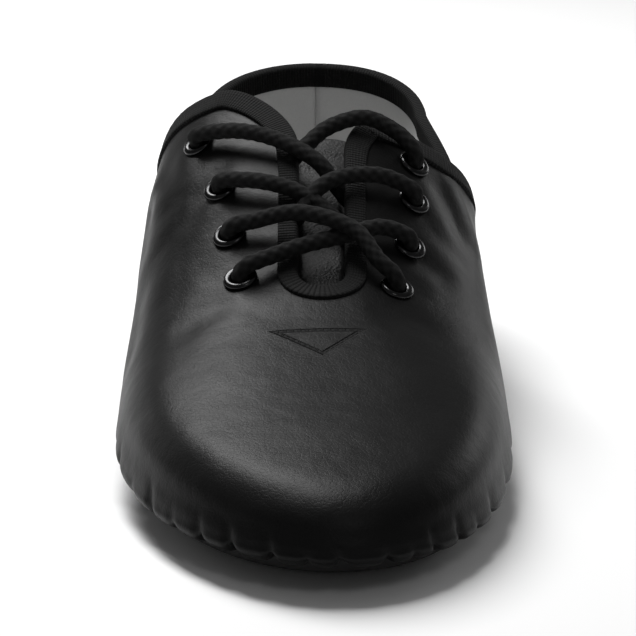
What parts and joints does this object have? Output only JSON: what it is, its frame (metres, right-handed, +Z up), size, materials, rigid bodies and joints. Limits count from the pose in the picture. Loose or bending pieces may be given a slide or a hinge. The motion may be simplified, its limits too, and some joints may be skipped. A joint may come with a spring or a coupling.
{
  "type": "jazz shoe",
  "caption": "Soft leather lace-up jazz shoe, right foot, with a split sole, bound collar and throat, metal eyelets and a round cord laced over the tongue.",
  "frame": {"origin": "on the floor, at the middle of the heel pad's flat underside", "axes": "+Z up, toe towards -Y, inner side of the foot towards +X"},
  "size_m": [0.0923, 0.252, 0.0769],
  "materials": {
    "leather": "soft satin black leather with a fine grain",
    "binding": "matte black ribbed tape",
    "tongue": "soft black leather, slightly duller",
    "lining": "light grey brushed cotton",
    "sole": "matte black sole rubber",
    "lace": "round braided black cord",
    "eyelet": "glossy black plated metal"
  },
  "bodies": {
    "root": {"upper": "leather", "collar_binding": "binding", "tongue": "tongue", "insole": "lining", "outsole_forefoot": "sole", "outsole_heel": "sole", "lace_cross_low": "lace", "lace_cross_middle": "lace", "lace_cross_top": "lace", "eyelet_outer_1": "eyelet", "eyelet_outer_2": "eyelet", "eyelet_outer_3": "eyelet", "eyelet_outer_4": "eyelet", "eyelet_inner_1": "eyelet", "eyelet_inner_2": "eyelet", "eyelet_inner_3": "eyelet", "eyelet_inner_4": "eyelet"}
  },
  "joints": []
}
